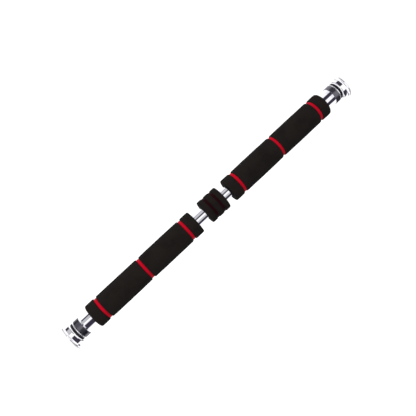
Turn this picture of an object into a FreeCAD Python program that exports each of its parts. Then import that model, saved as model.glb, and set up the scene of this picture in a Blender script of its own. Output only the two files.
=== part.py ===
import FreeCAD, Part
import math
import os

# A doorway pull up bar, closed to its shortest length.
# Millimetres. +X runs along the bar, +Z is up, and the origin is the middle of the bar on its axis.
# The right half is built first. The left end and grip are its mirror image.

# Steel tube that carries the load
TUBE_OD = 25.0
TUBE_WALL = 2.0
TUBE_SHOWING = 22.7        # bare tube between a long grip and its end collar

# Foam grips, each a row of foam sleeves with plastic bands between them
FOAM_OD = 52.0
GRIP_OUTER_ROUND = 3.0     # rounding at a long grip's end nearest the foot
GRIP_INNER_ROUND = 1.8     # rounding at a long grip's end nearest the middle
GRIP_BAND_ROUND = 2.0      # rounding beside a band
SHORT_FOAM = 21.9
LONG_FOAM = 103.65
BAND_RECESS = 2.25         # a band's surface below the foam's
BAND_WIDTH = 6.6
BAND_ROUND = 1.0
GRIP_START = 45.8          # from the middle of the bar to the inner end of a long grip

CENTRE_FOAM = 12.0
CENTRE_MIDDLE_FOAM = 12.4
CENTRE_END_ROUND = 1.8
CENTRE_BAND_ROUND = 1.0    # rounding beside a band
CENTRE_BAND_RECESS = 1.2
CENTRE_BAND_WIDTH = 5.5
CENTRE_SHIFT = 3.7         # the centre grip has been pushed this far towards the right

# End collar, pressed over the end of the tube
COLLAR_OD = 39.4
COLLAR_LENGTH = 12.8
COLLAR_END_WALL = 3.0
COLLAR_CHAMFER = 0.8

# Threaded insert in the end of the tube, held by two dowel pins
INSERT_LENGTH = 30.0
INSERT_FLANGE = 2.5
PIN_DIAMETER = 4.0
PIN_SETBACK = 5.0          # from the end of the tube to the pins' axis
PIN_SUNK = 0.4             # outer end of a pin below the tube's surface

# Spindle that screws out of the insert
SPINDLE_OD = 16.0
TRAVEL = 90.0
TRAVEL_SPARE = 0.5         # kept between stop ring and insert with the foot fully out
STOP_RING_WIDTH = 1.2
STOP_RING_GROOVE = 1.0     # depth of the stop ring's groove
STOP_RING_GAP = 5.0
SPINDLE_TAIL = 3.0         # spindle beyond the stop ring
SPINDLE_CHAMFER = 1.0

# Foot: bell-shaped cup with a neck, a loose ring round the neck, and a rubber pad in the mouth
NECK_OD = 37.2
NECK_BEAD = 2.2
NECK_ROUND = 0.9
RING_OD = 37.4
RING_WIDTH = 3.6
RING_WALL = 4.6
RING_ROUND = 0.7
SEAT_DEPTH = 6.0           # how far the spindle goes into the neck
SHOULDER_RISE = 3.4        # from the neck's radius to the bowl's, in a quarter round
BOWL_LENGTH = 10.4         # from the ring's groove to the start of the flare
CUP_FLOOR = 3.0
CUP_WALL = 2.0
FLARE_LENGTH = 2.5
FLARE_RISE = 5.6           # from the bowl's radius to the lip's
FLARE_BEND_X = 0.62        # the flare's middle point, as shares of its length and rise
FLARE_BEND_R = 0.30
LIP_LENGTH = 1.5
LIP_WIDTH = 3.6            # flat face round the mouth
LIP_ROUND = 0.5
MOUTH_CONE = 4.0           # length of the cone inside the mouth
PAD_PROUD = 2.5
PAD_RIM_INSET = 0.4        # the pad's rim stops this far inside the lip's edge
PAD_ROUND = 1.2
PAD_GRIP = 2.5             # length of the plug that grips the bowl, behind the cone
PAD_GROOVES = 3
PAD_GROOVE_WIDTH = 1.6
PAD_GROOVE_DEPTH = 1.0
PAD_GROOVE_PITCH = 6.0
PAD_CENTRE_FLAT = 6.0      # radius of the plain disc in the middle of the pad

# Screw and washer that hold the cup to the spindle
SCREW_OD = 8.0
SCREW_LENGTH = 20.0
SCREW_HEAD_OD = 13.0
SCREW_HEAD_HEIGHT = 4.5
SCREW_SOCKET = 5.0         # across the flats
SCREW_SOCKET_DEPTH = 2.5
WASHER_OD = 16.0
WASHER_THICK = 1.6

# Named clearances
THREAD_CLEARANCE = 0.05    # spindle in insert, radial
COLLAR_CLEARANCE = 0.3     # spindle through the collar's end wall, radial
TUBE_CLEARANCE = 0.9       # stop ring inside the tube, radial
CLOSED_GAP = 0.4           # collar to neck with the foot screwed home
RING_CLEARANCE = 0.08      # ring in its groove, radial and each side
PAD_CLEARANCE = 0.5        # pad to cup floor, back of the bowl, screw head and washer

tube_r = TUBE_OD / 2
tube_bore_r = tube_r - TUBE_WALL
foam_r = FOAM_OD / 2
spindle_r = SPINDLE_OD / 2
grip_end = GRIP_START + 2 * SHORT_FOAM + 2 * LONG_FOAM + 3 * BAND_WIDTH
collar_start = grip_end + TUBE_SHOWING
collar_end = collar_start + COLLAR_LENGTH
insert_end = collar_end - COLLAR_END_WALL
tube_end = insert_end - INSERT_FLANGE
insert_start = tube_end - INSERT_LENGTH
pin_x = tube_end - PIN_SETBACK
neck_start = collar_end + CLOSED_GAP
groove_start = neck_start + NECK_BEAD
groove_end = groove_start + RING_WIDTH + 2 * RING_CLEARANCE
neck_r = NECK_OD / 2
bowl_r = neck_r + SHOULDER_RISE
bowl_bore_r = bowl_r - CUP_WALL
lip_r = bowl_r + FLARE_RISE
mouth_r = lip_r - LIP_WIDTH
bowl_end = groove_end + BOWL_LENGTH
flare_end = bowl_end + FLARE_LENGTH
lip_end = flare_end + LIP_LENGTH
cone_start = lip_end - MOUTH_CONE
pad_end = lip_end + PAD_PROUD
seat_x = neck_start + SEAT_DEPTH
cup_floor_x = seat_x + CUP_FLOOR
screw_head_x = cup_floor_x + WASHER_THICK
stop_ring_x = insert_start - TRAVEL - TRAVEL_SPARE

AXIS = FreeCAD.Vector(1, 0, 0)
ORIGIN = FreeCAD.Vector(0, 0, 0)


def cylinder(start, end, radius):
    """A cylinder on the bar's axis."""
    return Part.makeCylinder(radius, end - start, FreeCAD.Vector(start, 0, 0), AXIS)


def round_rim(solid, x, radius, size):
    """Round the circular edge of this radius at x."""
    rims = []
    for edge in solid.Edges:
        circle = edge.Curve
        if not isinstance(circle, Part.Circle):
            continue
        if abs(circle.Center.x - x) < 1e-6 and abs(circle.Radius - radius) < 1e-6:
            rims.append(edge)
    return solid.makeFillet(size, rims)


def sleeve(start, end, bore, radius, start_round, end_round):
    """A sleeve round the bar's axis with both outer rims rounded."""
    body = cylinder(start, end, radius).cut(cylinder(start, end, bore))
    body = round_rim(body, start, radius, start_round)
    return round_rim(body, end, radius, end_round)


def turned(edges):
    """A solid turned about the bar's axis from a closed outline of edges."""
    return Part.Face(Part.Wire(edges)).revolve(ORIGIN, AXIS, 360)


def point(x, radius):
    return FreeCAD.Vector(x, 0, radius)


def lines(*points):
    """Straight edges through a row of points."""
    return [Part.LineSegment(a, b).toShape() for a, b in zip(points, points[1:])]


def mirrored(solid):
    return solid.mirror(ORIGIN, AXIS)


def dowel_pins(inner_r, outer_r):
    """Two pins in line across the tube, above and below the spindle."""
    pins = []
    for side in (1, -1):
        foot = FreeCAD.Vector(pin_x, 0, side * inner_r)
        way = FreeCAD.Vector(0, 0, side)
        pins.append(Part.makeCylinder(PIN_DIAMETER / 2, outer_r - inner_r, foot, way))
    return pins


# Main tube, open from end to end, with a cross hole for the pins near each end

def make_tube():
    tube = cylinder(-tube_end, tube_end, tube_r).cut(cylinder(-tube_end, tube_end, tube_bore_r))
    for pin in dowel_pins(tube_bore_r - 1, tube_r + 1):
        tube = tube.cut(pin).cut(mirrored(pin))
    return tube


# Grips: a row of foam sleeves and bands, from start outwards

def make_grip(start, foam_lengths, band_width, band_recess, rounds):
    """Foam sleeves and bands in order along the bar."""
    first_round, side_round, last_round = rounds
    band_r = foam_r - band_recess
    foams = []
    bands = []
    x = start
    last = len(foam_lengths) - 1
    for index, length in enumerate(foam_lengths):
        start_round = first_round if index == 0 else side_round
        end_round = last_round if index == last else side_round
        foams.append(sleeve(x, x + length, tube_r, foam_r, start_round, end_round))
        x += length
        if index < last:
            bands.append(sleeve(x, x + band_width, tube_r, band_r, BAND_ROUND, BAND_ROUND))
            x += band_width
    return foams, bands


# End of the tube: insert, its pins and the collar that covers them

def insert_pins():
    """Pins that reach half way through the insert's wall."""
    inner_r = (spindle_r + THREAD_CLEARANCE + tube_bore_r) / 2
    return dowel_pins(inner_r, tube_r - PIN_SUNK)


def make_insert():
    insert = cylinder(insert_start, tube_end, tube_bore_r)
    insert = insert.fuse(cylinder(tube_end, insert_end, tube_r)).removeSplitter()
    insert = insert.cut(cylinder(insert_start, insert_end, spindle_r + THREAD_CLEARANCE))
    for pin in insert_pins():
        insert = insert.cut(pin)
    return insert


def make_collar():
    collar = cylinder(collar_start, collar_end, COLLAR_OD / 2)
    collar = collar.cut(cylinder(collar_start, insert_end, tube_r))
    collar = collar.cut(cylinder(insert_end, collar_end, spindle_r + COLLAR_CLEARANCE))
    rims = []
    for edge in collar.Edges:
        if isinstance(edge.Curve, Part.Circle) and abs(edge.Curve.Radius - COLLAR_OD / 2) < 1e-6:
            rims.append(edge)
    return collar.makeChamfer(COLLAR_CHAMFER, rims)


# Spindle and the ring on its inner end that stops it coming out

def make_spindle():
    tail = stop_ring_x - STOP_RING_WIDTH - SPINDLE_TAIL
    groove_r = spindle_r - STOP_RING_GROOVE
    screw_tip = screw_head_x - SCREW_LENGTH
    outline = lines(
        point(tail, 0),
        point(tail, spindle_r - SPINDLE_CHAMFER),
        point(tail + SPINDLE_CHAMFER, spindle_r),
        point(stop_ring_x - STOP_RING_WIDTH, spindle_r),
        point(stop_ring_x - STOP_RING_WIDTH, groove_r),
        point(stop_ring_x, groove_r),
        point(stop_ring_x, spindle_r),
        point(seat_x, spindle_r),
        point(seat_x, SCREW_OD / 2),
        point(screw_tip, SCREW_OD / 2),
        point(screw_tip, 0),
        point(tail, 0),
    )
    return turned(outline)


def make_stop_ring():
    start = stop_ring_x - STOP_RING_WIDTH
    outer_r = tube_bore_r - TUBE_CLEARANCE
    ring = cylinder(start, stop_ring_x, outer_r)
    ring = ring.cut(cylinder(start, stop_ring_x, spindle_r - STOP_RING_GROOVE))
    corner = FreeCAD.Vector(start, -STOP_RING_GAP / 2, 0)
    gap = Part.makeBox(STOP_RING_WIDTH, STOP_RING_GAP, outer_r, corner)
    return ring.cut(gap)


# Foot: cup, loose neck ring, washer, screw and pad

def shoulder():
    """Quarter round from the neck out to the bowl."""
    diagonal = SHOULDER_RISE / math.sqrt(2)
    middle = point(groove_end + SHOULDER_RISE - diagonal, neck_r + diagonal)
    return Part.Arc(point(groove_end, neck_r), middle, point(groove_end + SHOULDER_RISE, bowl_r)).toShape()


def flare():
    """Trumpet curve from the bowl out to the lip."""
    middle = point(bowl_end + FLARE_BEND_X * FLARE_LENGTH, bowl_r + FLARE_BEND_R * FLARE_RISE)
    return Part.Arc(point(bowl_end, bowl_r), middle, point(flare_end, lip_r)).toShape()


def make_cup():
    groove_r = RING_OD / 2 - RING_WALL - RING_CLEARANCE
    outline = lines(
        point(cup_floor_x, SCREW_OD / 2),
        point(seat_x, SCREW_OD / 2),
        point(seat_x, spindle_r),
        point(neck_start, spindle_r),
        point(neck_start, neck_r),
        point(groove_start, neck_r),
        point(groove_start, groove_r),
        point(groove_end, groove_r),
        point(groove_end, neck_r),
    )
    outline.append(shoulder())
    outline += lines(
        point(groove_end + SHOULDER_RISE, bowl_r),
        point(bowl_end, bowl_r),
    )
    outline.append(flare())
    outline += lines(
        point(flare_end, lip_r),
        point(lip_end, lip_r),
        point(lip_end, mouth_r),
        point(cone_start, bowl_bore_r),
        point(cup_floor_x, bowl_bore_r),
        point(cup_floor_x, SCREW_OD / 2),
    )
    cup = turned(outline)
    cup = round_rim(cup, neck_start, neck_r, NECK_ROUND)
    cup = round_rim(cup, groove_start, neck_r, NECK_ROUND)
    return round_rim(cup, lip_end, lip_r, LIP_ROUND)


def make_neck_ring():
    start = groove_start + RING_CLEARANCE
    bore = RING_OD / 2 - RING_WALL
    return sleeve(start, start + RING_WIDTH, bore, RING_OD / 2, RING_ROUND, RING_ROUND)


def make_washer():
    washer = cylinder(cup_floor_x, screw_head_x, WASHER_OD / 2)
    return washer.cut(cylinder(cup_floor_x, screw_head_x, SCREW_OD / 2))


def make_screw():
    head_end = screw_head_x + SCREW_HEAD_HEIGHT
    screw = cylinder(screw_head_x - SCREW_LENGTH, screw_head_x, SCREW_OD / 2)
    screw = screw.fuse(cylinder(screw_head_x, head_end, SCREW_HEAD_OD / 2)).removeSplitter()
    corner_r = SCREW_SOCKET / math.sqrt(3)
    corners = []
    for side in range(7):
        angle = math.radians(60 * side)
        across = corner_r * math.cos(angle)
        up = corner_r * math.sin(angle)
        corners.append(FreeCAD.Vector(head_end - SCREW_SOCKET_DEPTH, across, up))
    socket = Part.Face(Part.makePolygon(corners)).extrude(AXIS * SCREW_SOCKET_DEPTH)
    return screw.cut(socket)


def make_pad():
    rim_r = lip_r - PAD_RIM_INSET
    back_x = cup_floor_x + PAD_CLEARANCE
    back_r = bowl_bore_r - PAD_CLEARANCE
    grip_start = cone_start - PAD_GRIP
    pocket_x = screw_head_x + SCREW_HEAD_HEIGHT + PAD_CLEARANCE
    pocket_r = WASHER_OD / 2 + PAD_CLEARANCE
    outline = lines(
        point(pocket_x, 0),
        point(pocket_x, pocket_r),
        point(back_x, pocket_r),
        point(back_x, back_r),
        point(grip_start, back_r),
        point(grip_start, bowl_bore_r),
        point(cone_start, bowl_bore_r),
        point(lip_end, mouth_r),
        point(lip_end, rim_r),
        point(pad_end, rim_r),
        point(pad_end, 0),
        point(pocket_x, 0),
    )
    pad = round_rim(turned(outline), pad_end, rim_r, PAD_ROUND)
    for groove in range(PAD_GROOVES):
        inner_r = PAD_CENTRE_FLAT + groove * PAD_GROOVE_PITCH
        outer_r = inner_r + PAD_GROOVE_WIDTH
        bottom = pad_end - PAD_GROOVE_DEPTH
        cut = cylinder(bottom, pad_end, outer_r).cut(cylinder(bottom, pad_end, inner_r))
        pad = pad.cut(cut)
    return pad


nodes = {"main_tube": make_tube()}

long_grip = [SHORT_FOAM, LONG_FOAM, LONG_FOAM, SHORT_FOAM]
long_rounds = (GRIP_INNER_ROUND, GRIP_BAND_ROUND, GRIP_OUTER_ROUND)
long_foams, long_bands = make_grip(GRIP_START, long_grip, BAND_WIDTH, BAND_RECESS, long_rounds)
for number, foam in enumerate(long_foams, 1):
    nodes[f"right_grip_foam_{number}"] = foam
    nodes[f"left_grip_foam_{number}"] = mirrored(foam)
for number, band in enumerate(long_bands, 1):
    nodes[f"right_grip_band_{number}"] = band
    nodes[f"left_grip_band_{number}"] = mirrored(band)

centre_grip = [CENTRE_FOAM, CENTRE_MIDDLE_FOAM, CENTRE_FOAM]
centre_rounds = (CENTRE_END_ROUND, CENTRE_BAND_ROUND, CENTRE_END_ROUND)
centre_start = CENTRE_SHIFT - (sum(centre_grip) + 2 * CENTRE_BAND_WIDTH) / 2
centre_foams, centre_bands = make_grip(
    centre_start, centre_grip, CENTRE_BAND_WIDTH, CENTRE_BAND_RECESS, centre_rounds
)
for number, foam in enumerate(centre_foams, 1):
    nodes[f"centre_grip_foam_{number}"] = foam
for number, band in enumerate(centre_bands, 1):
    nodes[f"centre_grip_band_{number}"] = band

end_pieces = {
    "insert": make_insert(),
    "insert_pins": Part.makeCompound(insert_pins()),
    "end_collar": make_collar(),
    "spindle": make_spindle(),
    "stop_ring": make_stop_ring(),
    "neck_ring": make_neck_ring(),
    "foot_cup": make_cup(),
    "foot_washer": make_washer(),
    "foot_screw": make_screw(),
    "foot_pad": make_pad(),
}
for piece, solid in end_pieces.items():
    nodes[f"right_{piece}"] = solid
    nodes[f"left_{piece}"] = mirrored(solid)

os.makedirs("parts", exist_ok=True)
for name, solid in nodes.items():
    solid.exportStep(f"parts/{name}.step")
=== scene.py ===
import math

import bmesh
import bpy
from mathutils import Matrix, Vector, noise


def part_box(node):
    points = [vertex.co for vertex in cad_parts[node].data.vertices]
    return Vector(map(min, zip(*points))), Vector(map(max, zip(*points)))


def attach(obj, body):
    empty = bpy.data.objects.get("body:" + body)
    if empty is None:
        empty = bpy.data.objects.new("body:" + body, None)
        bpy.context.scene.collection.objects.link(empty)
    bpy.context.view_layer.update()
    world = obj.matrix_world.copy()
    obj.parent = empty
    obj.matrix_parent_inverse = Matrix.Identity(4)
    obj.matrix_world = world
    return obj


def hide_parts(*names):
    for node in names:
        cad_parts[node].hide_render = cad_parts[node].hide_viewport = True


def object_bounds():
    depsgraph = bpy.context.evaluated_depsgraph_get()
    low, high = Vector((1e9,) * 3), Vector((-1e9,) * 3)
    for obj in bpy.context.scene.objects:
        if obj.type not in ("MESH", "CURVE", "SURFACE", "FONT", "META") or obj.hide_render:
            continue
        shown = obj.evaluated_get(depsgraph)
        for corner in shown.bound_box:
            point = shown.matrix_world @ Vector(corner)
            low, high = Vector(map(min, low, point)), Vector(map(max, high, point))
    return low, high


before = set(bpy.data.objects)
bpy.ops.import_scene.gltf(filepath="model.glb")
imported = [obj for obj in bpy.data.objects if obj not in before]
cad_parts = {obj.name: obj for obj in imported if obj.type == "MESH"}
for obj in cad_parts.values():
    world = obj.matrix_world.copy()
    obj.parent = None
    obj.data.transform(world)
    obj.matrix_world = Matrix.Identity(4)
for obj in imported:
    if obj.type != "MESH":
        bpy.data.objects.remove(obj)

cad_low, cad_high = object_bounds()


# ---------------------------------------------------------------------------------------------
# The camera looks steeply down on the bar from near its left grip, so the right half runs away
# from it. It is rolled, so that the bar crosses the frame from bottom left to top right.

LENS = 45
CAMERA_RISE = math.radians(68)
BAR_SLOPE = math.radians(42.92)
CAMERA_ALONG = -0.144
CAMERA_DISTANCE = 1.037
LOOK_ALONG = -0.0088
LOOK_ABOVE = 0.0032

towards_camera = Vector((0, -math.cos(CAMERA_RISE), math.sin(CAMERA_RISE)))
above_bar = Vector((0, math.sin(CAMERA_RISE), math.cos(CAMERA_RISE)))
camera_place = Vector((CAMERA_ALONG, 0, 0)) + towards_camera * CAMERA_DISTANCE
target = Vector((LOOK_ALONG, 0, 0)) + above_bar * LOOK_ABOVE
view_back = (camera_place - target).normalized()
bar_seen = Vector((1, 0, 0)) - view_back * view_back.x
bar_seen.normalize()
bar_normal = view_back.cross(bar_seen)
right = bar_seen * math.cos(BAR_SLOPE) - bar_normal * math.sin(BAR_SLOPE)
up = bar_seen * math.sin(BAR_SLOPE) + bar_normal * math.cos(BAR_SLOPE)

camera = bpy.data.objects.new("camera", bpy.data.cameras.new("camera"))
bpy.context.scene.collection.objects.link(camera)
camera.data.lens = LENS
camera.matrix_world = Matrix((
    (right.x, up.x, view_back.x, camera_place.x),
    (right.y, up.y, view_back.y, camera_place.y),
    (right.z, up.z, view_back.z, camera_place.z),
    (0, 0, 0, 1),
))
bpy.context.scene.camera = camera


# ---------------------------------------------------------------------------------------------
# Main tube: drawn steel, 25 mm across, polished and chrome plated. It runs from collar to collar
# and carries the grips. Handling leaves it with hairline marks along its length.

ROUNDING_STEPS = 5
CREASE = 30
WELD_DISTANCE = 1e-7


def link(piece):
    """Puts an object in the scene."""
    bpy.context.scene.collection.objects.link(piece)
    return piece


def swept(centre, spoke, angle, steps):
    """Points that a spoke from this centre reaches as it turns through an angle."""
    points = []
    for step in range(steps + 1):
        cos = math.cos(angle * step / steps)
        sin = math.sin(angle * step / steps)
        points.append(centre + Vector((spoke.x * cos - spoke.y * sin, spoke.x * sin + spoke.y * cos)))
    return points


def rounded(corners, steps=ROUNDING_STEPS):
    """Outline points from (x, radius, rounding) corners in order round a closed outline."""
    points = []
    count = len(corners)
    for index, (x, radius, size) in enumerate(corners):
        corner = Vector((x, radius))
        if not size:
            points.append(corner)
            continue
        before = (Vector(corners[index - 1][:2]) - corner).normalized()
        after = (Vector(corners[(index + 1) % count][:2]) - corner).normalized()
        half = before.angle(after) / 2
        middle = corner + (before + after).normalized() * size / math.sin(half)
        first = corner + before * size / math.tan(half) - middle
        last = corner + after * size / math.tan(half) - middle
        points += swept(middle, first, -first.angle_signed(last), steps)
    return points


def turned(name, outline, material, segments=128):
    """A closed body turned about the bar's axis from its outline."""
    mesh = bmesh.new()
    rings = []
    for segment in range(segments):
        angle = 2 * math.pi * segment / segments
        cos = math.cos(angle)
        sin = math.sin(angle)
        rings.append([mesh.verts.new((p.x, p.y * cos, p.y * sin)) for p in outline])
    count = len(outline)
    for segment in range(segments):
        here = rings[segment]
        there = rings[(segment + 1) % segments]
        for index in range(count):
            following = (index + 1) % count
            mesh.faces.new((here[index], there[index], there[following], here[following]))
    welded(mesh, WELD_DISTANCE, WELD_DISTANCE)
    return shown(name, mesh, material)


def welded(mesh, weld, shortest):
    """Joins points this close, drops edges shorter than this and turns the faces outwards."""
    bmesh.ops.remove_doubles(mesh, verts=mesh.verts, dist=weld)
    bmesh.ops.dissolve_degenerate(mesh, edges=mesh.edges, dist=shortest)
    bmesh.ops.recalc_face_normals(mesh, faces=mesh.faces)


def shown(name, mesh, material, crease=CREASE):
    """The object that shows a finished bmesh, smooth but for creases sharper than this."""
    data = bpy.data.meshes.new(name)
    mesh.to_mesh(data)
    mesh.free()
    data.polygons.foreach_set("use_smooth", [True] * len(data.polygons))
    data.set_sharp_from_angle(angle=math.radians(crease))
    data.materials.append(material)
    piece = link(bpy.data.objects.new(name, data))
    weighted = piece.modifiers.new("face weighted normals", "WEIGHTED_NORMAL")
    weighted.keep_sharp = True
    return piece


def group(name, inputs, outputs):
    """An empty shader node group with number or vector inputs and number outputs."""
    tree = bpy.data.node_groups.new(name, "ShaderNodeTree")
    for label, value in inputs.items():
        kind = "NodeSocketVector" if isinstance(value, tuple) else "NodeSocketFloat"
        socket = tree.interface.new_socket(name=label, in_out="INPUT", socket_type=kind)
        socket.default_value = value
    for label in outputs:
        tree.interface.new_socket(name=label, in_out="OUTPUT", socket_type="NodeSocketFloat")
    return tree, tree.nodes.new("NodeGroupInput"), tree.nodes.new("NodeGroupOutput")


def feed(tree, socket, value):
    """Gives a socket its value: a plain one, or another node's output."""
    if isinstance(value, bpy.types.NodeSocket):
        tree.links.new(value, socket)
    else:
        socket.default_value = value


def add(tree, kind, **settings):
    """A node of this kind. Settings name its properties, or its sockets with _ for a space."""
    node = tree.nodes.new(kind)
    for name, value in settings.items():
        if hasattr(node, name):
            setattr(node, name, value)
        else:
            feed(tree, node.inputs[name.replace("_", " ")], value)
    return node


def maths(tree, operation, *values):
    """The answer of a Math node, from numbers or sockets in the node's own order."""
    node = add(tree, "ShaderNodeMath", operation=operation)
    for socket, value in zip(node.inputs, values):
        feed(tree, socket, value)
    return node.outputs[0]


def own_place(tree):
    """Where each point is in the object's own space, so that nothing slides as it moves."""
    return add(tree, "ShaderNodeTexCoord").outputs["Object"]


def spread_out(tree, value, low, high):
    """A value stretched so that low becomes 0 and high becomes 1."""
    return add(tree, "ShaderNodeMapRange", Value=value, From_Min=low, From_Max=high).outputs["Result"]


def make_marks():
    """Hairline marks and smears: Marks is 0 on a clean surface and 1 in a mark."""
    inputs = {"Stretch": (1.0, 1.0, 1.0), "Scale": 400.0}
    tree, given, result = group("handling_marks", inputs, ["Marks"])
    stretched = add(tree, "ShaderNodeVectorMath", operation="MULTIPLY")
    tree.links.new(own_place(tree), stretched.inputs[0])
    tree.links.new(given.outputs["Stretch"], stretched.inputs[1])
    fine = add(tree, "ShaderNodeTexNoise", Vector=stretched.outputs[0], Detail=3.0,
               Scale=given.outputs["Scale"])
    wide = add(tree, "ShaderNodeTexNoise", Vector=own_place(tree), Detail=2.0, Scale=23.0)
    hairlines = spread_out(tree, fine.outputs["Fac"], 0.56, 0.78)
    smears = spread_out(tree, wide.outputs["Fac"], 0.35, 0.75)
    tree.links.new(maths(tree, "MULTIPLY", hairlines, smears), result.inputs["Marks"])
    return tree


def make_grain():
    """Even fine grain from 0 to 1, the same in every direction."""
    tree, given, result = group("fine_grain", {"Scale": 900.0, "Detail": 3.0}, ["Grain"])
    cloud = add(tree, "ShaderNodeTexNoise", Vector=own_place(tree), Scale=given.outputs["Scale"],
                Detail=given.outputs["Detail"])
    tree.links.new(spread_out(tree, cloud.outputs["Fac"], 0.3, 0.7), result.inputs["Grain"])
    return tree


HANDLING_MARKS = make_marks()
FINE_GRAIN = make_grain()


def effect(tree, effect_group, **values):
    """A shared effect placed in a material with its own values."""
    node = add(tree, "ShaderNodeGroup", node_tree=effect_group)
    for name, value in values.items():
        node.inputs[name].default_value = value
    return node


def finish_of(name):
    """A new material with its node tree and its Principled shader."""
    material = bpy.data.materials.new(name)
    material.use_nodes = True
    tree = material.node_tree
    return material, tree, tree.nodes["Principled BSDF"]


# A Mix node's sockets for colours share their names with others, so they go by number
MIX_COLOURS = (6, 7)
MIX_RESULT = 2


def mixed(tree, factor, first, second):
    """A colour between two, by a factor from 0 to 1. Each is red, green and blue, or a socket."""
    mix = add(tree, "ShaderNodeMix", data_type="RGBA", Factor=factor)
    for number, colour in zip(MIX_COLOURS, (first, second)):
        feed(tree, mix.inputs[number], (*colour, 1) if isinstance(colour, tuple) else colour)
    return mix.outputs[MIX_RESULT]


def ranged(tree, value, low, high):
    """A value from 0 to 1 mapped on to low to high."""
    return add(tree, "ShaderNodeMapRange", Value=value, To_Min=low, To_Max=high).outputs["Result"]


def bumped(tree, height, distance, strength):
    """The surface's direction with small bumps of this height."""
    bump = add(tree, "ShaderNodeBump", Height=height, Distance=distance, Strength=strength)
    return bump.outputs["Normal"]


def plated(name, clean, dull, roughness, marked, stretch):
    """Polished plating with hairline marks."""
    material, tree, shader = finish_of(name)
    marks = effect(tree, HANDLING_MARKS, Stretch=stretch, Scale=520.0).outputs["Marks"]
    shader.inputs["Metallic"].default_value = 1
    tree.links.new(mixed(tree, marks, clean, dull), shader.inputs["Base Color"])
    tree.links.new(ranged(tree, marks, roughness, marked), shader.inputs["Roughness"])
    tree.links.new(bumped(tree, marks, 0.00002, 0.4), shader.inputs["Normal"])
    return material


TUBE_WALL = 0.0020
CUT_END_ROUND = 0.0005
ALONG_THE_BAR = (0.05, 1.0, 1.0)
ROUND_THE_BAR = (1.0, 0.08, 0.08)

chrome = plated(
    "bright_chrome", clean=(0.86, 0.86, 0.89), dull=(0.70, 0.70, 0.75),
    roughness=0.05, marked=0.16, stretch=ALONG_THE_BAR,
)
tube_low, tube_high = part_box("main_tube")
tube_radius = tube_high.z
tube = turned("tube", rounded([
    (tube_low.x, tube_radius - TUBE_WALL, 0),
    (tube_low.x, tube_radius, CUT_END_ROUND),
    (tube_high.x, tube_radius, CUT_END_ROUND),
    (tube_high.x, tube_radius - TUBE_WALL, 0),
]), chrome)
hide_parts("main_tube")
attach(tube, "bar")


# ---------------------------------------------------------------------------------------------
# Inserts and their pins: plain turned steel, pressed into the tube's ends and out of sight.
# Each keeps its CAD shape and has a machined finish with fine turning lines.

ENDS = {"left": -1, "right": 1}
TURNING_ROUGHENS = 0.2


def machined(name, light, dark, roughness):
    """Bare steel straight from the lathe: fine rings round the bar's axis."""
    material, tree, shader = finish_of(name)
    lines = effect(tree, HANDLING_MARKS, Stretch=ROUND_THE_BAR, Scale=1400.0).outputs["Marks"]
    shader.inputs["Metallic"].default_value = 1
    tree.links.new(mixed(tree, lines, light, dark), shader.inputs["Base Color"])
    tree.links.new(ranged(tree, lines, roughness, roughness + TURNING_ROUGHENS), shader.inputs["Roughness"])
    tree.links.new(bumped(tree, lines, 0.00005, 0.5), shader.inputs["Normal"])
    return material


plain_steel = machined(
    "plain_steel", light=(0.56, 0.56, 0.58), dark=(0.36, 0.36, 0.38), roughness=0.28
)


def refinish(node, material):
    """Gives a CAD node that keeps its shape its finished material."""
    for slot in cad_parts[node].material_slots:
        slot.material = material


for end in ENDS:
    refinish(f"{end}_insert", plain_steel)
    refinish(f"{end}_insert_pins", plain_steel)


# ---------------------------------------------------------------------------------------------
# End collars: turned steel rings in dark nickel-black chrome, pressed over the tube's ends.
# Both rims have a small chamfer. The end faces are bright, and the outer one has the spindle's hole.

COLLAR_CHAMFER = 0.0008
CHAMFER_FRONT_ROUND = 0.0002
CHAMFER_TOP_ROUND = 0.0003
COLLAR_END_WALL = 0.0030
SPINDLE_PLAY = 0.0003
SPINDLE_HOLE_ROUND = 0.0004
# A face that looks at least this much along the bar, out of 1, belongs to an end face
END_FACE = 0.9

dark_chrome = plated(
    "dark_chrome", clean=(0.135, 0.127, 0.152), dull=(0.100, 0.094, 0.114),
    roughness=0.26, marked=0.36, stretch=ROUND_THE_BAR,
)
spindle_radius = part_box("right_spindle")[1].z


def outward(end, node):
    """The inner and outer ends of a node, as distances along the bar from its middle."""
    low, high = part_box(f"{end}_{node}")
    return (low.x, high.x) if end == "right" else (-high.x, -low.x)


def placed(end, corners, steps=ROUNDING_STEPS):
    """An outline given outwards along the bar, for the end that it is on."""
    side = ENDS[end]
    return rounded([(side * x, radius, size) for x, radius, size in corners], steps)


for end in ENDS:
    start, finish = outward(end, "end_collar")
    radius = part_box(f"{end}_end_collar")[1].z
    wall = finish - COLLAR_END_WALL
    hole = spindle_radius + SPINDLE_PLAY
    collar = turned(f"{end}_collar", placed(end, [
        (start, tube_radius, 0),
        (start, radius - COLLAR_CHAMFER, CHAMFER_FRONT_ROUND),
        (start + COLLAR_CHAMFER, radius, CHAMFER_TOP_ROUND),
        (finish - COLLAR_CHAMFER, radius, CHAMFER_TOP_ROUND),
        (finish, radius - COLLAR_CHAMFER, CHAMFER_FRONT_ROUND),
        (finish, hole, SPINDLE_HOLE_ROUND),
        (wall, hole, 0),
        (wall, tube_radius, 0),
    ]), dark_chrome)
    collar.data.materials.append(chrome)
    for face in collar.data.polygons:
        if abs(face.normal.x) > END_FACE:
            face.material_index = 1
    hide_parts(f"{end}_end_collar")
    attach(collar, "bar")


# ---------------------------------------------------------------------------------------------
# Grips: sleeves of black closed-cell foam rubber, cut to length, ground to 52 mm and pushed along
# the tube. Their rims are softly rounded, and each swells a little between its ends.

FOAM_DARK = (0.0052, 0.0042, 0.0038)
FOAM_LIGHT = (0.0092, 0.0074, 0.0066)
# Painted shade: the near-black tone the foam's colour turns to where it is seen sidelong
FOAM_SIDELONG_SHADE = (0.0012, 0.0011, 0.0010)
GRAIN_IN_BUMPS = 0.8
GRAIN_IN_TONE = 0.5


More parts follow.
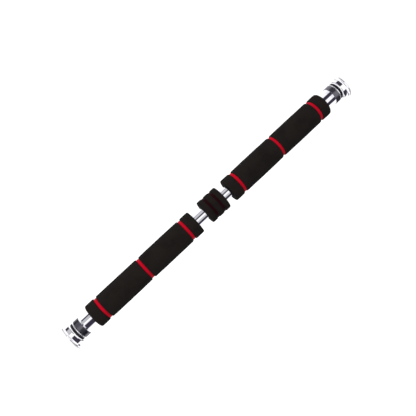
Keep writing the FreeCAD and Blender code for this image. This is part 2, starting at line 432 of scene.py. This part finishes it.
def make_foam():
    """Black foam rubber: ground cells under a fine grain, blotchy, with painted shade where it is seen
    sidelong.
    """
    material, tree, shader = finish_of("foam_rubber")
    cells = add(tree, "ShaderNodeTexVoronoi", Vector=own_place(tree), Scale=1300.0)
    grain = effect(tree, FINE_GRAIN, Scale=420.0, Detail=4.0).outputs["Grain"]
    blotch = effect(tree, FINE_GRAIN, Scale=38.0, Detail=2.0).outputs["Grain"]
    height = maths(tree, "MULTIPLY_ADD", grain, GRAIN_IN_BUMPS, cells.outputs["Distance"])
    tone = maths(tree, "MULTIPLY_ADD", grain, GRAIN_IN_TONE, blotch)
    # Painted shade: the colour darkens towards the sidelong tone as the surface turns away from the view
    edge = add(tree, "ShaderNodeLayerWeight", Blend=0.25).outputs["Facing"]
    face = mixed(tree, tone, FOAM_DARK, FOAM_LIGHT)
    colour = mixed(tree, spread_out(tree, edge, 0.25, 0.75), face, FOAM_SIDELONG_SHADE)
    tree.links.new(colour, shader.inputs["Base Color"])
    tree.links.new(ranged(tree, blotch, 0.72, 0.9), shader.inputs["Roughness"])
    tree.links.new(bumped(tree, height, 0.00012, 0.6), shader.inputs["Normal"])
    shader.inputs["Specular IOR Level"].default_value = 0.05
    return material


foam = make_foam()

FOAM_STEP = 0.0012
FOAM_SEGMENTS = 144
FOAM_ROUNDING_STEPS = 8
BORE_ROUND = 0.0006
# Only an outline that stays this far off the tube is cut into short steps
SIDE_START = 0.0007
# The innermost tenth of the foam keeps its shape on the tube
BORE_SHARE = 0.1
INNER_ROUND = 0.0018
OUTER_ROUND = 0.0030
LONG_SIDE_ROUND = 0.0020
CENTRE_SIDE_ROUND = 0.0010
FOAM_SWELL = 0.0003
# The foam's skin is a little uneven: how far it moves, and how many waves there are in a metre
SLOW_WAVE = 0.00022
SLOW_WAVES = 45
FAST_WAVE = 0.00005
FAST_WAVES = 420


def foam_sleeve(node, start_round, end_round):
    """One foam sleeve in place of its CAD solid."""
    low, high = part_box(node)
    radius = high.z - FOAM_SWELL
    corners = rounded([
        (low.x, tube_radius, BORE_ROUND),
        (low.x, radius, start_round),
        (high.x, radius, end_round),
        (high.x, tube_radius, BORE_ROUND),
    ], FOAM_ROUNDING_STEPS)
    outline = []
    for index, here in enumerate(corners):
        following = corners[(index + 1) % len(corners)]
        outside = min(here.y, following.y) > tube_radius + SIDE_START
        steps = max(1, round((following - here).length / FOAM_STEP)) if outside else 1
        for step in range(steps):
            outline.append(here.lerp(following, step / steps))
    piece = turned(f"{node}_skin", outline, foam, FOAM_SEGMENTS)
    middle = (low.x + high.x) / 2
    half = (high.x - low.x) / 2
    for vertex in piece.data.vertices:
        place = vertex.co
        spoke = Vector((0, place.y, place.z))
        depth = (spoke.length - tube_radius) / (radius - tube_radius)
        if depth < BORE_SHARE:
            continue
        spoke.normalize()
        swell = FOAM_SWELL * (1 - ((place.x - middle) / half) ** 2)
        slow = SLOW_WAVE * noise.noise(place * SLOW_WAVES)
        wave = slow + FAST_WAVE * noise.noise(place * FAST_WAVES)
        vertex.co = place + spoke * depth * (swell + wave)
    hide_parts(node)
    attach(piece, "bar")


for number in range(1, 5):
    inner = INNER_ROUND if number == 1 else LONG_SIDE_ROUND
    outer = OUTER_ROUND if number == 4 else LONG_SIDE_ROUND
    foam_sleeve(f"left_grip_foam_{number}", outer, inner)
    foam_sleeve(f"right_grip_foam_{number}", inner, outer)
foam_sleeve("centre_grip_foam_1", INNER_ROUND, CENTRE_SIDE_ROUND)
foam_sleeve("centre_grip_foam_2", CENTRE_SIDE_ROUND, CENTRE_SIDE_ROUND)
foam_sleeve("centre_grip_foam_3", CENTRE_SIDE_ROUND, INNER_ROUND)


# ---------------------------------------------------------------------------------------------
# Bands: injection moulded plastic rings between the sleeves, crimson on the long grips. The centre grip's
# rings are a dark red, painted shade of their narrow grooves. Each sits a little below the foam and has a
# satin gloss.

SATIN_SPREAD = 0.12


def moulded(name, face, shade, roughness, grain_size):
    """Coloured plastic from a mould: a fine satin grain and slightly uneven colour."""
    material, tree, shader = finish_of(name)
    grain = effect(tree, FINE_GRAIN, Scale=grain_size, Detail=3.0).outputs["Grain"]
    blotch = effect(tree, FINE_GRAIN, Scale=60.0, Detail=2.0).outputs["Grain"]
    tree.links.new(mixed(tree, blotch, shade, face), shader.inputs["Base Color"])
    tree.links.new(ranged(tree, grain, roughness, roughness + SATIN_SPREAD), shader.inputs["Roughness"])
    tree.links.new(bumped(tree, grain, 0.00003, 0.5), shader.inputs["Normal"])
    shader.inputs["Specular IOR Level"].default_value = 0.04
    return material


BAND_ROUND = 0.0010

crimson = moulded(
    "crimson_plastic", face=(0.35, 0.0010, 0.0110), shade=(0.30, 0.0008, 0.0085),
    roughness=0.45, grain_size=1500.0,
)
# Painted shade: the centre grip's red rings get this dark red for the shade in their narrow grooves
groove_shaded_red = moulded(
    "groove_shaded_red_plastic", face=(0.0125, 0.0010, 0.0024), shade=(0.0090, 0.0008, 0.0018),
    roughness=0.5, grain_size=1500.0,
)


def band_ring(node, material):
    """One plastic ring in place of its CAD solid."""
    low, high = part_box(node)
    radius = high.z
    piece = turned(f"{node}_ring", rounded([
        (low.x, tube_radius, 0),
        (low.x, radius, BAND_ROUND),
        (high.x, radius, BAND_ROUND),
        (high.x, tube_radius, 0),
    ]), material)
    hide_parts(node)
    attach(piece, "bar")


for end in ENDS:
    for number in range(1, 4):
        band_ring(f"{end}_grip_band_{number}", crimson)
for number in range(1, 3):
    band_ring(f"centre_grip_band_{number}", groove_shaded_red)


# ---------------------------------------------------------------------------------------------
# Neck rings: loose rings of moulded black plastic. Each runs in a groove round the neck of its
# foot, and slides out and in with the foot.

RING_WALL = 0.0046
RING_ROUND = 0.0007
RING_BORE_ROUND = 0.0003

black_plastic = moulded(
    "black_plastic", face=(0.018, 0.018, 0.022), shade=(0.011, 0.011, 0.014),
    roughness=0.38, grain_size=1200.0,
)

for end in ENDS:
    start, finish = outward(end, "neck_ring")
    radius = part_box(f"{end}_neck_ring")[1].z
    ring = turned(f"{end}_loose_ring", placed(end, [
        (start, radius - RING_WALL, RING_BORE_ROUND),
        (start, radius, RING_ROUND),
        (finish, radius, RING_ROUND),
        (finish, radius - RING_WALL, RING_BORE_ROUND),
    ]), black_plastic)
    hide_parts(f"{end}_neck_ring")
    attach(ring, f"{end}_neck_ring")


# ---------------------------------------------------------------------------------------------
# Spindles: steel rods with a 4 mm trapezoidal thread, right-handed at the left end of the bar and
# left-handed at the right end, rolled and lightly oiled. A snap ring stops each at full reach.

PITCH = 0.0040
THREAD_DEPTH = 0.0021
THREAD_SEGMENTS = 96
THREAD_CREASE = 25
THREAD_WELD_DISTANCE = 2e-6
# One turn of the thread along the bar: shares of the pitch, and whether each is at the crest
THREAD_FORM = ((0.00, 1), (0.33, 1), (0.48, 0), (0.85, 0))
SPINDLE_SHANK = 0.0075

thread_steel = machined(
    "thread_steel", light=(0.60, 0.60, 0.63), dark=(0.42, 0.42, 0.45), roughness=0.22
)


def threaded(name, end, inner, outer, radius):
    """A rod with a helical thread, of the other hand at each end, and a shank that seats in the foot."""
    side = ENDS[end]
    mesh = bmesh.new()
    run = outer - SPINDLE_SHANK - inner
    turns = math.ceil(run / PITCH) + 1
    columns = []
    for segment in range(THREAD_SEGMENTS + 1):
        share = segment / THREAD_SEGMENTS
        angle = 2 * math.pi * share
        cos = math.cos(angle)
        sin = math.sin(angle)
        column = [(inner, 0), (inner, radius - THREAD_DEPTH)]
        for turn in range(-1, turns):
            for place, crest in THREAD_FORM:
                x = inner + (turn + place + share) * PITCH
                depth = 0 if crest else THREAD_DEPTH
                inside = min(max(x, inner), inner + run)
                column.append((inside, radius - depth))
        column.append((inner + run, radius - THREAD_DEPTH))
        column.append((inner + run + THREAD_DEPTH, radius))
        column.append((outer, radius))
        column.append((outer, 0))
        columns.append([mesh.verts.new((side * x, r * cos, -r * sin)) for x, r in column])
    for here, there in zip(columns, columns[1:]):
        for index in range(len(here) - 1):
            mesh.faces.new((here[index], there[index], there[index + 1], here[index + 1]))
    welded(mesh, THREAD_WELD_DISTANCE, THREAD_WELD_DISTANCE / 2)
    return shown(name, mesh, thread_steel, THREAD_CREASE)


for end in ENDS:
    start, finish = outward(end, "spindle")
    rod = threaded(f"{end}_screw_rod", end, start, finish, spindle_radius)
    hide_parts(f"{end}_spindle")
    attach(rod, f"{end}_foot")
    refinish(f"{end}_stop_ring", plain_steel)


# ---------------------------------------------------------------------------------------------
# Foot cups: pressed steel bells, bright chromed. Each has a beaded neck, a groove for the loose
# ring, a rounded shoulder, a short straight bowl and a flare out to the lip that holds the pad.

NECK_BEAD = 0.0022
NECK_BEAD_ROUND = 0.0009
NECK_BORE_ROUND = 0.0003
NECK_RADIUS = 0.0186
GROOVE_RADIUS = 0.01402
RING_SIDE_GAP = 0.00008
SHOULDER_RISE = 0.0034
BOWL_LENGTH = 0.0104
CUP_WALL = 0.0020
FLARE_LENGTH = 0.0025
FLARE_BEND_ALONG = 0.62
FLARE_BEND_OUT = 0.30
FLARE_STEPS = 10
LIP_WIDTH = 0.0036
LIP_ROUND = 0.0005
MOUTH_ROUND = 0.0003
MOUTH_CONE = 0.0040
FLOOR_ROUND = 0.0008
SCREW_HOLE_SHARE = 8 / 13
CUP_SEGMENTS = 160
CUP_ROUNDING_STEPS = 12

cup_chrome = plated(
    "cup_chrome", clean=(0.90, 0.90, 0.92), dull=(0.76, 0.76, 0.80),
    roughness=0.06, marked=0.15, stretch=ROUND_THE_BAR,
)


def arc_through(first, middle, last, steps):
    """Points along the circle through three points."""
    a, b, c = (Vector(p) for p in (first, middle, last))
    four_areas = 2 * (a.x * (b.y - c.y) + b.x * (c.y - a.y) + c.x * (a.y - b.y))
    aa, bb, cc = (p.length_squared for p in (a, b, c))
    centre = Vector((
        (aa * (b.y - c.y) + bb * (c.y - a.y) + cc * (a.y - b.y)) / four_areas,
        (aa * (c.x - b.x) + bb * (a.x - c.x) + cc * (b.x - a.x)) / four_areas,
    ))
    start = a - centre
    return swept(centre, start, -start.angle_signed(c - centre), steps)


for end in ENDS:
    start, finish = outward(end, "foot_cup")
    lip_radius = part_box(f"{end}_foot_cup")[1].z
    groove_end = outward(end, "neck_ring")[1] + RING_SIDE_GAP
    bowl_end = groove_end + BOWL_LENGTH
    bowl_radius = NECK_RADIUS + SHOULDER_RISE
    flare_end = bowl_end + FLARE_LENGTH
    seat_x = outward(end, "spindle")[1]
    floor_x = outward(end, "foot_washer")[0]
    hole_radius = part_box(f"{end}_foot_screw")[1].z * SCREW_HOLE_SHARE
    bend_x = bowl_end + FLARE_BEND_ALONG * FLARE_LENGTH
    bend_radius = bowl_radius + FLARE_BEND_OUT * (lip_radius - bowl_radius)
    flare = arc_through(
        (bowl_end, bowl_radius), (bend_x, bend_radius), (flare_end, lip_radius), FLARE_STEPS
    )
    corners = [
        (floor_x, hole_radius, 0),
        (seat_x, hole_radius, 0),
        (seat_x, spindle_radius, 0),
        (start, spindle_radius, NECK_BORE_ROUND),
        (start, NECK_RADIUS, NECK_BEAD_ROUND),
        (start + NECK_BEAD, NECK_RADIUS, NECK_BEAD_ROUND),
        (start + NECK_BEAD, GROOVE_RADIUS, 0),
        (groove_end, GROOVE_RADIUS, 0),
        (groove_end, bowl_radius, SHOULDER_RISE),
    ]
    corners += [(point.x, point.y, 0) for point in flare]
    corners += [
        (finish, lip_radius, LIP_ROUND),
        (finish, lip_radius - LIP_WIDTH, MOUTH_ROUND),
        (finish - MOUTH_CONE, bowl_radius - CUP_WALL, 0),
        (floor_x, bowl_radius - CUP_WALL, FLOOR_ROUND),
    ]
    outline = placed(end, corners, CUP_ROUNDING_STEPS)
    cup = turned(f"{end}_bell", outline, cup_chrome, CUP_SEGMENTS)
    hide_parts(f"{end}_foot_cup")
    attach(cup, f"{end}_foot")


# ---------------------------------------------------------------------------------------------
# Screw and washer: plain steel fasteners that pull each cup on to its spindle. They go in from
# the cup's mouth, and the pad hides them. Each keeps its CAD shape.

for end in ENDS:
    refinish(f"{end}_foot_screw", plain_steel)
    refinish(f"{end}_foot_washer", plain_steel)


# ---------------------------------------------------------------------------------------------
# Pads: off-white moulded rubber plugs in the cups' mouths. The face that meets the door jamb has
# ring grooves, and the rim laps over the lip.

PAD_WHITE = (0.68, 0.68, 0.68)
PAD_SHADE = (0.62, 0.62, 0.63)


def make_pad_rubber():
    """Off-white rubber with a fine matt grain and a slightly uneven tone."""
    material, tree, shader = finish_of("pad_rubber")
    grain = effect(tree, FINE_GRAIN, Scale=700.0, Detail=4.0).outputs["Grain"]
    blotch = effect(tree, FINE_GRAIN, Scale=45.0, Detail=3.0).outputs["Grain"]
    tree.links.new(mixed(tree, blotch, PAD_SHADE, PAD_WHITE), shader.inputs["Base Color"])
    tree.links.new(ranged(tree, grain, 0.5, 0.68), shader.inputs["Roughness"])
    tree.links.new(bumped(tree, grain, 0.00006, 0.5), shader.inputs["Normal"])
    return material


pad_rubber = make_pad_rubber()

PAD_GAP = 0.0005
PAD_GRIP = 0.0025
PAD_ROUND = 0.0012
PAD_LAP_ROUND = 0.0003
PLUG_ROUND = 0.0005
GRIP_ROUND = 0.0002
PAD_GROOVES = ((0.0060, 0.0076), (0.0120, 0.0136), (0.0180, 0.0196))
PAD_GROOVE_DEPTH = 0.0010
GROOVE_ROUND = 0.0003

for end in ENDS:
    start, finish = outward(end, "foot_pad")
    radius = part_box(f"{end}_foot_pad")[1].z
    lip_x = outward(end, "foot_cup")[1]
    lip_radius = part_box(f"{end}_foot_cup")[1].z
    washer_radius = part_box(f"{end}_foot_washer")[1].z
    pocket_x = outward(end, "foot_screw")[1] + PAD_GAP
    plug_radius = NECK_RADIUS + SHOULDER_RISE - CUP_WALL
    cone_start = lip_x - MOUTH_CONE
    bottom = finish - PAD_GROOVE_DEPTH
    corners = [
        (pocket_x, 0, 0),
        (pocket_x, washer_radius + PAD_GAP, PLUG_ROUND),
        (start, washer_radius + PAD_GAP, PAD_LAP_ROUND),
        (start, plug_radius - PAD_GAP, PLUG_ROUND),
        (cone_start - PAD_GRIP, plug_radius - PAD_GAP, 0),
        (cone_start - PAD_GRIP, plug_radius, GRIP_ROUND),
        (cone_start, plug_radius, 0),
        (lip_x, lip_radius - LIP_WIDTH, 0),
        (lip_x, radius, PAD_LAP_ROUND),
        (finish, radius, PAD_ROUND),
    ]
    for inner, outer in reversed(PAD_GROOVES):
        corners += [
            (finish, outer, GROOVE_ROUND),
            (bottom, outer, GROOVE_ROUND),
            (bottom, inner, GROOVE_ROUND),
            (finish, inner, GROOVE_ROUND),
        ]
    corners.append((finish, 0, 0))
    pad = turned(f"{end}_pad", placed(end, corners), pad_rubber)
    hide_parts(f"{end}_foot_pad")
    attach(pad, f"{end}_foot")


# ---------------------------------------------------------------------------------------------
# The studio: a plain pale floor well below the bar, a softbox above and a white surround.
# Reflections see a dark room with bright strips instead, and these make the bands on the chrome.

FLOOR_DROP = 0.45
FLOOR_SIZE = 14.0
FLOOR_PALE = (0.88, 0.88, 0.88)
FLOOR_SHADE = (0.86, 0.86, 0.86)

floor_material, floor_tree, floor_shader = finish_of("studio_floor")
floor_grain = effect(floor_tree, FINE_GRAIN, Scale=30.0, Detail=2.0).outputs["Grain"]
floor_colour = mixed(floor_tree, floor_grain, FLOOR_SHADE, FLOOR_PALE)
floor_tree.links.new(floor_colour, floor_shader.inputs["Base Color"])
floor_shader.inputs["Roughness"].default_value = 0.9
floor_mesh = bmesh.new()
bmesh.ops.create_grid(floor_mesh, x_segments=1, y_segments=1, size=FLOOR_SIZE / 2)
floor = shown("floor", floor_mesh, floor_material)
floor.location.z = cad_low.z - FLOOR_DROP
floor.visible_glossy = False

# The softbox is square, faces the middle of the bar and stays out of reflections
SOFTBOX_PLACE = Vector((-0.5, 0.4, 1.7))
SOFTBOX_SIZE = 1.2
SOFTBOX_WATTS = 26

softbox_light = bpy.data.lights.new("overhead_softbox", "AREA")
softbox = link(bpy.data.objects.new("overhead_softbox", softbox_light))
softbox_light.size = SOFTBOX_SIZE
softbox_light.energy = SOFTBOX_WATTS
softbox.location = SOFTBOX_PLACE
softbox.rotation_mode = "QUATERNION"
softbox.rotation_quaternion = SOFTBOX_PLACE.to_track_quat("Z", "Y")
softbox.visible_glossy = False

# Bright strips of the room as angles in degrees round the bar, from straight up towards the back:
# middle, width and brightness. The left end, the middle and the right end reflect different ones.
LEFT_STRIPS = ((-9, 40, 1.0), (38, 48, 0.5), (-160, 76, 1.0), (142, 88, 1.0))
MIDDLE_STRIPS = ((-31, 38, 1.0), (-65, 24, 0.6), (34, 44, 0.55), (-163, 74, 1.0), (121, 116, 1.0))
RIGHT_STRIPS = ((-49, 64, 1.0), (114, 124, 1.0))
STRIP_FADE = 7
# How far along the bar a direction leans, from -1 to 1, as one set of strips changes to the next.
# Towards the left end the last change comes later. Past these the room's side walls are bright.
LEFT_TO_MIDDLE = (-0.12, 0.04)
MIDDLE_TO_RIGHT = (0.18, 0.30)
LATER_AT_LEFT = 0.12
SIDE_WALL = (0.47, 0.60)
WHITE = (1, 1, 1, 1)
ROOM_DARK = (0.045, 0.038, 0.060)
ROOM_BRIGHT = (1.15, 1.15, 1.17)

world = bpy.data.worlds.new("studio")
bpy.context.scene.world = world
world.use_nodes = True
sky = world.node_tree
sky.nodes.clear()
direction = add(sky, "ShaderNodeTexCoord").outputs["Generated"]
axes = add(sky, "ShaderNodeSeparateXYZ", Vector=direction)
radians_round = maths(sky, "ARCTAN2", axes.outputs["Y"], axes.outputs["Z"])
degrees_round = maths(sky, "MULTIPLY", radians_round, math.degrees(1))


def strip_light(strips):
    """How bright the room's strips are in this direction."""
    total = 0.0
    for middle, width, brightness in strips:
        away = maths(sky, "ABSOLUTE", maths(sky, "SUBTRACT", degrees_round, middle))
        edge = add(sky, "ShaderNodeMapRange", Value=away, From_Min=(width + STRIP_FADE) / 2,
                   From_Max=(width - STRIP_FADE) / 2, To_Max=brightness)
        total = maths(sky, "ADD", total, edge.outputs["Result"])
    return total


def changing(value, limits, first, second):
    """One brightness changing to another as a value goes from the low limit to the high one."""
    share = spread_out(sky, value, *limits)
    return add(sky, "ShaderNodeMix", data_type="FLOAT", Factor=share, A=first, B=second).outputs["Result"]


along = axes.outputs["X"]
either_way = maths(sky, "ABSOLUTE", along)
lean = maths(sky, "MAXIMUM", along, maths(sky, "SUBTRACT", either_way, LATER_AT_LEFT))
near_strips = changing(along, LEFT_TO_MIDDLE, strip_light(LEFT_STRIPS), strip_light(MIDDLE_STRIPS))
strips = changing(lean, MIDDLE_TO_RIGHT, near_strips, strip_light(RIGHT_STRIPS))
lit = maths(sky, "MAXIMUM", strips, spread_out(sky, either_way, *SIDE_WALL))

surround = add(sky, "ShaderNodeBackground", Color=WHITE, Strength=1.0)
room = add(sky, "ShaderNodeBackground", Color=mixed(sky, lit, ROOM_DARK, ROOM_BRIGHT), Strength=1.0)
light_path = add(sky, "ShaderNodeLightPath")
choice = add(sky, "ShaderNodeMixShader", Fac=light_path.outputs["Is Glossy Ray"])
sky.links.new(surround.outputs[0], choice.inputs[1])
sky.links.new(room.outputs[0], choice.inputs[2])
output = add(sky, "ShaderNodeOutputWorld")
sky.links.new(choice.outputs[0], output.inputs["Surface"])

# A plain view of the light keeps the surround white and the reds deep
bpy.context.scene.view_settings.view_transform = "Standard"
